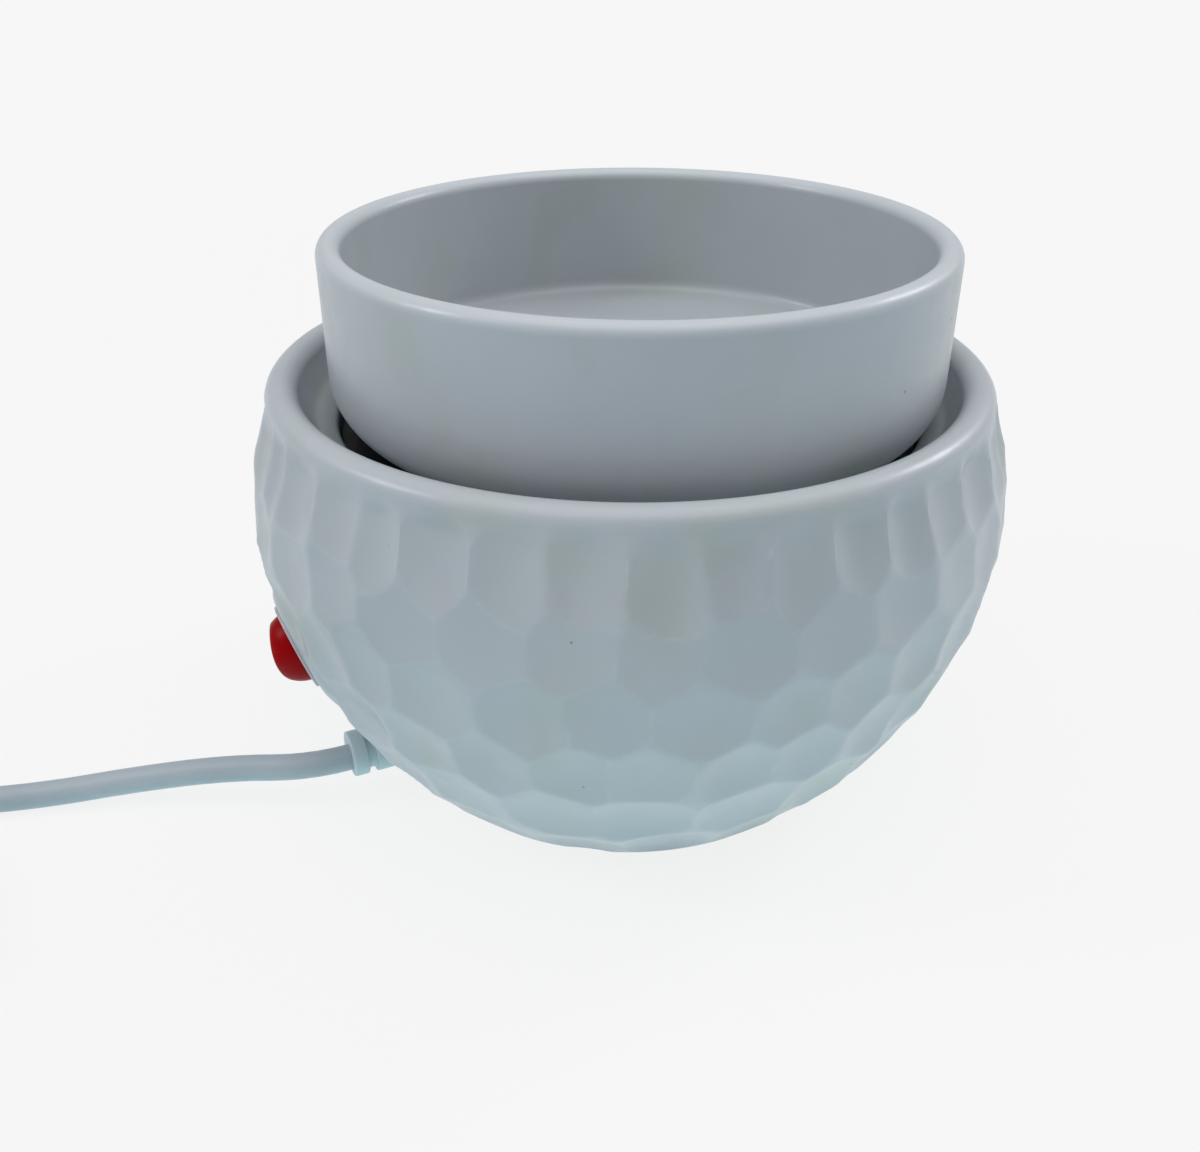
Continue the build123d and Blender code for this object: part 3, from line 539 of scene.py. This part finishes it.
def bowl():
    """The bowl: its faceted wall, lip, ledge, well, shelf, hollow and foot as one closed turned skin.

    The wall's radius is the two circles' radius less the facets' cut and a slight waver of the hand:
    three slow waves round the bowl. The rest of the outline is turned as it is."""
    heights = np.linspace(foot_z, lip_z, 600)
    wall_line = evenly(np.stack([bowl_radius(heights), heights], axis=1), bowl_rows)
    lip = arc((lip_radius, lip_z), lip_tube, 0, 180, 14)[1:-1]
    hollow_heights = np.linspace(widest_point[1], flange_top_z, 12)
    hollow = np.stack([bowl_radius(hollow_heights) - wall, hollow_heights], axis=1)
    well = softened([(lip_radius - lip_tube, lip_z), ledge_outer, ledge_inner, (ledge_inner[0], seat_z),
                     (shelf_bore, seat_z), (shelf_bore, shelf_under_z), shelf_root, hollow[0]],
                    bowl_corner_reach, 3)
    foot = softened([hollow[-1], (flange_bore, flange_top_z), (flange_bore, recess_z),
                     (recess_radius, recess_z), (recess_radius, foot_z), wall_line[0]],
                    bowl_corner_reach, 3)
    outline = np.concatenate([wall_line, lip, well, hollow[1:-1], foot[:-1]])
    points = turned_points(outline, bowl_columns)
    turns = np.arange(bowl_columns) * 2 * math.pi / bowl_columns
    up = np.r_[0, np.cumsum(np.linalg.norm(np.diff(wall_line, axis=0), axis=1))]
    cut, crest = facet_cut(turns, up, (wall_line[:, 1], up))
    fade = smooth_step(wall_line[:, 1], *facet_fade_z)[:, None]
    axis = np.array(switch_place(0))
    from_switch = points[:bowl_rows] - axis[:3, 3]
    off_axis = from_switch - (from_switch @ axis[:3, 2:3]) * axis[:3, 2]
    pad = smooth_step(np.linalg.norm(off_axis, axis=-1), *switch_pad_radii)
    pad = np.where(points[:bowl_rows, :, 0] < 0, pad, 1)
    cut, crest = cut * pad, crest * fade * pad
    waver = sum(size * np.sin(count * turns + start) for count, size, start in bowl_waves)
    radius = np.minimum(wall_line[:, :1] - cut * fade + waver[None, :] * fade, widest_allowed)
    points[:bowl_rows, :, 0], points[:bowl_rows, :, 1] = radius * np.cos(turns), radius * np.sin(turns)
    faces = grid_faces(len(outline), bowl_columns, True)
    # Nearness to a crest, kept on each point for the glaze's painted highlight along the crests.
    crests = np.zeros(points.shape[:2])
    crests[:bowl_rows] = crest
    body = add_piece("ceramic_bowl", points, faces, "bowl_glaze", "base", ["ceramic_body"], crest=crests)
    seat = gland_head_length + gland_neck_length + gland_collar_length
    shank = seat + gland_shank_length + gland_hole_overrun
    drill(body, [
        (switch_place(bezel_seat_depth), bezel_seat_radius, bezel_seat_length),
        (switch_place(barrel_hole_depth), barrel_hole_radius, barrel_hole_length),
        (switch_place(wall + ring_nut_hole_length), ring_nut_hole_radius, ring_nut_hole_length),
        (along_x(gland_end_x, gland_z) @ gland_oval, gland_head_radius + gland_hole_gap, seat),
        (along_x(gland_end_x, gland_z), gland_shank_radius + gland_hole_gap, shank),
        (along_x(gland_end_x + seat + gland_wall, gland_z), gland_spot_radius,
         gland_spot_length)])
    smooth_faces(body.data, hard_edge)


def strain_relief():
    """Stepped bushing with rounded shoulders, round the lead where it enters the bowl."""
    lengths = np.cumsum([0, gland_head_length, gland_neck_length, gland_collar_length, gland_shank_length])
    outline = [(cord_radius, 0.0)]
    for i, radius in enumerate((gland_head_radius, gland_neck_radius, gland_head_radius,
                                gland_shank_radius)):
        outline += [(radius, lengths[i]), (radius, lengths[i + 1])]
    outline.append((cord_radius, lengths[-1]))
    outline = softened(outline, gland_edge)
    points = turned_points(outline, gland_columns)
    outside = outline[:, 0] > cord_radius + gland_edge
    wide = outside & (outline[:, 1] < lengths[3] + gland_edge / 2)
    points = np.where(wide[:, None, None], moved(points, gland_oval), points)
    points = moved(points, along_x(gland_end_x, gland_z))
    return add_piece("strain_relief_bushing", points, grid_faces(len(outline), gland_columns, True),
                     "cord_plastic", "base", ["strain_relief"])


def switch_bezel():
    """Switch housing: a flange with a rounded rim over the seat, and a closed barrel behind it."""
    inside = barrel_floor - barrel_length
    outline = softened([(0.0, inside), (rocker_bore, inside), (rocker_bore, bezel_thickness),
                        (bezel_radius, bezel_thickness), (bezel_radius, 0.0), (barrel_radius, 0.0),
                        (barrel_radius, -barrel_length), (0.0, -barrel_length)], bezel_edge)
    return turned_piece("switch_bezel", outline, "bezel_plastic", "base", ["switch_housing"], 96,
                        switch_place(bezel_seat_depth))


# Melt dish
dish_shift = (0.00127, -0.00059)
dish_radius, dish_wall, dish_rim_z, dish_rim_tube = 0.0586, 0.0044, 0.1085, 0.0022
dish_corner, dish_under_z, dish_floor_z = 0.011, 0.0758, 0.0836
dish_foot_radius, dish_foot_width, dish_foot_z = 0.044, 0.0035, 0.073
dish_inner_reach, dish_foot_reach, dish_columns = 0.0028, 0.0008, 256

# Rocker: a ball about its pivot with a hollow face and a flat underside; rocker_beyond is any length
# well past the ball, for a ray that meets neither
rocker_ball, rocker_pivot_depth, rocker_tilt = 0.0071, 0.0012, 14.0
rocker_face_depth, rocker_face_radius, rocker_under = 0.0042, 0.016, 0.0032
rocker_edge, rocker_rows, rocker_columns = 0.0004, 97, 128
rocker_beyond, pin_columns = 0.02, 32
stem_radius, stem_reach = 0.0013, 0.0072
pivot_radius, pivot_reach = 0.0009, 0.00775

# Plug, from the tip of its neck: lengths along it and half sizes
plug_neck_length, plug_length = 0.020, 0.026
plug_neck_tip, plug_neck_radius = 0.0035, 0.0046
plug_half_width, plug_half_height = 0.0115, 0.0065
plug_rib_pitch, plug_rib_depth, plug_rib_margin = 0.0032, 0.00045, 0.002
plug_swell_length, plug_end_round, plug_squareness = 0.0075, 0.0028, 2.6
plug_grip_from, plug_grip_to, plug_grip_fade = 0.029, 0.042, 0.003
plug_grip_pitch, plug_grip_depth = 0.0026, 0.0006
plug_rows, plug_columns = 185, 120


def melt_dish():
    """Melt dish: straight wall, rolled rim, rounded lower corner and a foot ring, turned in one skin."""
    inner = dish_radius - dish_wall
    foot_inner = dish_foot_radius - dish_foot_width
    floor = softened([(0.0, dish_floor_z), (inner, dish_floor_z), (inner, dish_rim_z)], dish_inner_reach, 9)
    rim = arc((dish_radius - dish_rim_tube, dish_rim_z), dish_rim_tube, 180, 0, 17)
    corner = arc((dish_radius - dish_corner, dish_under_z + dish_corner), dish_corner, 0, -90, 25)
    foot = softened([tuple(corner[-1]), (dish_foot_radius, dish_under_z), (dish_foot_radius, dish_foot_z),
                     (foot_inner, dish_foot_z), (foot_inner, dish_under_z), (0.0, dish_under_z)],
                    dish_foot_reach, 5)
    outline = np.concatenate([floor[:-1], rim, corner[:-1], foot])
    place = Matrix.Translation((*dish_shift, 0))
    return turned_piece("melt_dish_glazed", outline, "dish_glaze", "dish", ["melt_dish"], dish_columns,
                        place)


def rocker():
    """Rocker: each point lies on a ray from the pivot, at the soft least of three lengths: the ball's
    radius, the way to the hollow face, which is a cylinder above the pivot, and the way to the flat
    underside. A stem and a cross pin are added."""
    tilts = np.linspace(0, math.pi, rocker_rows)[:, None]
    turns = (np.arange(rocker_columns) * 2 * math.pi / rocker_columns)[None, :]
    x, y = np.sin(tilts) * np.cos(turns), np.sin(tilts) * np.sin(turns)
    z = np.cos(tilts) + 0 * turns
    height = rocker_face_depth + rocker_face_radius
    square, half = x ** 2 + z ** 2, height * z
    inside = half ** 2 - square * (height ** 2 - rocker_face_radius ** 2)
    reach = (half - np.sqrt(np.maximum(inside, 0))) / np.maximum(square, 1e-9)
    face = np.where((inside > 0) & (z > 0), reach, 1.0)
    under = np.where(z < 0, -rocker_under / np.minimum(z, -1e-6), 1.0)
    ways = np.stack([np.full_like(z, rocker_ball), np.minimum(face, rocker_beyond),
                     np.minimum(under, rocker_beyond)])
    far = -rocker_edge * np.log(np.exp(-ways / rocker_edge).sum(axis=0))
    points = np.stack([x * far, y * far, z * far], axis=-1).reshape(-1, 3)
    faces = grid_faces(rocker_rows, rocker_columns, False)
    stem = turned_points(np.array([(0.0, 0.0), (stem_radius, 0.0), (stem_radius, -stem_reach + stem_radius),
                                   *arc((0.0, -stem_reach + stem_radius), stem_radius, 0, -90, 7)]),
                         pin_columns)
    pin = turned_points(np.array([(0.0, -pivot_reach), (pivot_radius, -pivot_reach),
                                  (pivot_radius, pivot_reach), (0.0, pivot_reach)]), pin_columns)
    pin = pin[..., [0, 2, 1]]
    parts = [(points, faces)]
    for part in (stem, pin):
        parts.append((part.reshape(-1, 3), grid_faces(len(part), pin_columns, False)))
    starts = np.cumsum([0] + [len(part) for part, _ in parts])
    points = np.concatenate([part for part, _ in parts])
    faces = np.concatenate([face + start for (_, face), start in zip(parts, starts)])
    place = switch_place(rocker_pivot_depth) @ Matrix.Rotation(math.radians(-rocker_tilt), 4, "Y")
    return add_piece("rocker_cap", moved(points, place), faces, "rocker_red", "rocker",
                     ["switch_rocker"], sharp=50)


def plug():
    """Moulded plug: its cross-sections are rounded boxes, x and y to a power, that swell from a round
    ribbed neck to the wide body, with finger grooves on its two narrow sides."""
    length = plug_neck_length + plug_length
    x = np.linspace(0, length, plug_rows)
    neck = plug_neck_tip + (plug_neck_radius - plug_neck_tip) * np.clip(x / plug_neck_length, 0, 1)
    ribs = (np.clip((x - plug_rib_margin) / plug_rib_margin, 0, 1)
            * np.clip((plug_neck_length - plug_rib_margin / 2 - x) / plug_rib_margin, 0, 1))
    neck = neck - plug_rib_depth * ribs * (0.5 - 0.5 * np.cos(2 * math.pi * x / plug_rib_pitch)) ** 0.5
    swell = np.clip((x - plug_neck_length) / plug_swell_length, 0, 1)
    swell = (swell * swell * (3 - 2 * swell)) ** 0.6
    end = np.clip((length - x) / plug_end_round, 0, 1)
    end = plug_end_round * (1 - np.sqrt(1 - (1 - end) ** 2))
    grip_share = (np.clip((x - plug_grip_from) / plug_grip_fade, 0, 1)
                  * np.clip((plug_grip_to - x) / plug_grip_fade, 0, 1))
    grooves = plug_grip_depth * grip_share * (0.5 - 0.5 * np.cos(2 * math.pi * x / plug_grip_pitch))
    wide = neck + (plug_half_width - neck) * swell - end - grooves
    high = neck + (plug_half_height - neck) * swell - end
    power = 2 + plug_squareness * swell
    turns = (np.arange(plug_columns) * 2 * math.pi / plug_columns)[None, :]
    across, up = np.cos(turns), np.sin(turns)
    share = (np.abs(across) ** power[:, None] + np.abs(up) ** power[:, None]) ** (-1 / power[:, None])
    rows = np.stack([np.broadcast_to(x[:, None], share.shape), wide[:, None] * share * across,
                     high[:, None] * share * up], axis=-1)
    cap = rows[[0, -1]].copy()
    cap[..., 1:] = 0
    rows = np.concatenate([cap[:1], rows, cap[1:]])
    before, end_point = coil_to_world(tail_route[-2:])
    ahead = (end_point - before) / np.linalg.norm(end_point - before)
    aside = np.array([-ahead[1], ahead[0], 0.0])
    points = end_point + rows @ np.stack([ahead, aside, np.array([0, 0, 1.0])])
    return add_piece("moulded_plug", points, grid_faces(len(rows), plug_columns, False), "plug_plastic",
                     "base", ["plug_body"])


def make_finishes():
    """Every finish of the warmer, by the record's slot."""
    # Glaze colours: pale and dark tones of the clouding, warm patches, specks, and the painted highlight
    # colour for the rim and the facet crests.
    white_glaze = (srgb(180, 187, 192), srgb(174, 182, 188), srgb(172, 181, 175), srgb(104, 106, 108),
                   srgb(208, 217, 222))
    pale = (srgb(171, 182, 190), srgb(165, 177, 185))
    return {
        # Heights and shares of the painted highlight on the bowl's lip and on the dish's rim.
        "bowl_glaze": glaze("bowl_glaze", *white_glaze, (lip_z, lip_z + lip_tube), 0.3, True),
        "dish_glaze": glaze("dish_glaze", *white_glaze, (dish_rim_z, dish_rim_z + 0.0016), 0.6),
        "plate_coating": plastic("plate_coating", srgb(16, 17, 18), srgb(24, 25, 26), (0.5, 0.62), 0.0004),
        "silicone": rubber("silicone", srgb(92, 92, 94), srgb(110, 110, 112)),
        "aluminium": metal("aluminium", srgb(205, 206, 208), srgb(188, 190, 193), (0.28, 0.42),
                           (1.0, 0.06, 1.0)),
        "mica": fibre("mica", srgb(182, 168, 128), srgb(150, 134, 96), 0.002, 0.00004),
        "felt": fibre("felt", srgb(228, 224, 212), srgb(206, 200, 186), 0.0012, 0.0002),
        "steel": metal("steel", srgb(190, 192, 196), srgb(172, 174, 178), (0.25, 0.4), (1.0, 1.0, 0.2)),
        "brass": metal("brass", srgb(206, 172, 98), srgb(188, 150, 80), (0.22, 0.36), (1.0, 1.0, 0.2)),
        "glass_sleeve": fibre("glass_sleeve", srgb(232, 228, 206), srgb(214, 208, 182), 0.0006, 0.0001),
        "cover_plastic": plastic("cover_plastic", srgb(196, 200, 201), srgb(186, 191, 193), (0.5, 0.62),
                                 0.0009, 0.00005),
        "rubber": rubber("rubber", srgb(40, 40, 41), srgb(62, 61, 60)),
        "bezel_plastic": plastic("bezel_plastic", srgb(190, 186, 190), srgb(180, 177, 182), (0.3, 0.42)),
        "rocker_red": plastic("rocker_red", srgb(156, 0, 6), srgb(140, 0, 4), (0.3, 0.38), 0.0012,
                              0.000006, Specular_IOR_Level=0.08),
        "cord_plastic": plastic("cord_plastic", srgb(196, 211, 215), srgb(186, 202, 207), (0.4, 0.52)),
        "cord_jacket": plastic("cord_jacket", *pale, (0.36, 0.5), 0.0008, 0.00002),
        "tie_plastic": plastic("tie_plastic", srgb(206, 210, 212), srgb(194, 199, 202), (0.35, 0.45)),
        "plug_plastic": plastic("plug_plastic", *pale, (0.42, 0.55), 0.0008, 0.00004),
        "lead_dark": rubber("lead_dark", srgb(34, 34, 36), srgb(44, 44, 46), (0.45, 0.6)),
        "lead_white": rubber("lead_white", srgb(212, 212, 206), srgb(198, 198, 192), (0.45, 0.6))}


def dress_nodes():
    """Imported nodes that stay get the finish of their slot."""
    for part in frame["record"]["subparts"]:
        node = frame["nodes"][part["node"]]
        for holder in node.material_slots:
            holder.material = finishes[part["material_slot"]]


# Floor and surroundings: colours, shares, and distances from the middle over which the floor changes
page_colour = srgb(247, 247, 247)
floor_size = 12.0
floor_shade_share, floor_shade_reach = 0.10, (0.2, 0.7)
# For every ray but the camera's, gloss and glass, the floor glows: teal near the bowl and grey further off.
# This lights the bowl from below like a light table.
floor_near, floor_far, floor_glow = srgb(212, 242, 245), srgb(176, 180, 189), 0.42
floor_colour_reach = (0.10, 0.40)
sky_colour, sky_strength = srgb(247, 246, 248), 0.36

# Lamps: name, place, size, strength in watts and colour, all turned to one point
lamp_aim = (0, 0, 0.05)
lamps = [("top", (-0.1, -0.2, 1.5), 1.6, 12.5, srgb(255, 253, 253)),
         ("left", (-1.1, 0.35, 0.9), 0.35, 4.6, srgb(252, 252, 255)),
         ("right", (1.1, 0.05, 0.8), 0.35, 4.6, srgb(252, 252, 255))]


def lamp(name, place, size, watts, colour):
    """Soft square lamp at a place, turned towards the bowl."""
    data = bpy.data.lights.new(name, "AREA")
    data.shape, data.size, data.energy, data.color = "SQUARE", size, watts, colour[:3]
    made = bpy.data.objects.new(name, data)
    bpy.context.scene.collection.objects.link(made)
    made.location = place
    made.rotation_euler = (Vector(lamp_aim) - Vector(place)).to_track_quat("-Z", "Y").to_euler()


def floor():
    """Pale floor: the camera, gloss and glass see the page's colour with a little of the real shade."""
    mesh = bpy.data.meshes.new("floor")
    half = floor_size / 2
    mesh.from_pydata([(-half, -half, 0), (half, -half, 0), (half, half, 0), (-half, half, 0)], [],
                     [(0, 1, 2, 3)])
    made = bpy.data.objects.new("floor", mesh)
    bpy.context.scene.collection.objects.link(made)
    finish = Finish("floor")
    finish.set(Roughness=0.9, Specular_IOR_Level=0.1, Emission_Strength=floor_glow)
    away = finish.node("VectorMath", {0: finish.place}, operation="LENGTH").outputs["Value"]
    tone = finish.mix(finish.ramp(away, *floor_colour_reach), floor_near, floor_far)
    finish.colour(tone)
    finish.links.new(tone, finish.shader.inputs["Emission Color"])
    shade = finish.node("BsdfDiffuse", {"Color": page_colour})
    page = finish.node("Emission", {"Color": page_colour, "Strength": 1.0})
    seen = finish.node("MixShader", {0: finish.ramp(away, *floor_shade_reach, 1 - floor_shade_share, 1)})
    finish.links.new(shade.outputs[0], seen.inputs[1])
    finish.links.new(page.outputs[0], seen.inputs[2])
    look = finish.node("LightPath")
    wanted = look.outputs["Is Camera Ray"]
    for name in ("Is Glossy Ray", "Is Transmission Ray"):
        wanted = finish.node("Math", {0: wanted, 1: look.outputs[name]}, operation="MAXIMUM").outputs[0]
    choose = finish.node("MixShader", {0: wanted})
    finish.links.new(finish.shader.outputs[0], choose.inputs[1])
    finish.links.new(seen.outputs[0], choose.inputs[2])
    finish.links.new(choose.outputs[0], finish.nodes["Material Output"].inputs["Surface"])
    mesh.materials.append(finish.material)


def world():
    """Even pale surroundings: the page's colour to the camera, a soft sky to the object."""
    sky = bpy.data.worlds.new("world")
    bpy.context.scene.world = sky
    sky.use_nodes = True
    nodes, links = sky.node_tree.nodes, sky.node_tree.links
    light = nodes["Background"]
    light.inputs["Color"].default_value, light.inputs["Strength"].default_value = sky_colour, sky_strength
    page = nodes.new("ShaderNodeBackground")
    page.inputs["Color"].default_value, page.inputs["Strength"].default_value = page_colour, 1.0
    look, choose = nodes.new("ShaderNodeLightPath"), nodes.new("ShaderNodeMixShader")
    links.new(look.outputs["Is Camera Ray"], choose.inputs[0])
    links.new(light.outputs[0], choose.inputs[1])
    links.new(page.outputs[0], choose.inputs[2])
    links.new(choose.outputs[0], nodes["World Output"].inputs["Surface"])


bpy.context.scene.view_settings.view_transform = "Standard"
camera()
finishes = make_finishes()
lead = mains_lead()
dress_nodes()
lead.data.materials.append(finishes["cord_jacket"])
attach(lead, "base")
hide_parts("power_cord", "cord_coil", "cord_tail")
bowl()
melt_dish()
bushing = strain_relief()
switch_bezel()
rocker()
plug_piece = plug()
floor()
world()
for values in lamps:
    lamp(*values)
